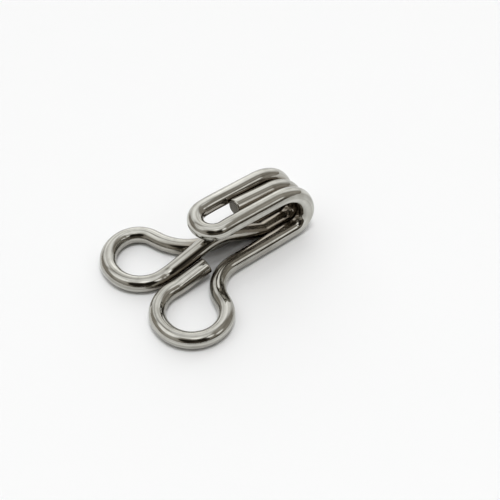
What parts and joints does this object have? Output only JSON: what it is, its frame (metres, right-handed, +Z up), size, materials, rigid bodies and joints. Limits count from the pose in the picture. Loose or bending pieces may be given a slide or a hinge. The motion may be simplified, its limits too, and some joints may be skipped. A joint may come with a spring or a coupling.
{
  "type": "dress hook",
  "caption": "Sew-on dress hook bent from one round wire: two open sewing loops, side-by-side shanks, a folded-back round-nosed bill and a spring tongue between its wires.",
  "frame": {"origin": "centre of the hook's outline on the surface it lies on", "axes": "+X from the sewing loops towards the bend, +Y across the shanks, +Z up from the sewing face to the bill"},
  "size_m": [0.0128, 0.0102, 0.0044],
  "materials": {
    "nickel_plated_wire": "bright nickel plate over drawn brass wire, tumbled smooth after bending"
  },
  "bodies": {
    "root": {"wire_hook": "nickel_plated_wire"}
  },
  "joints": []
}
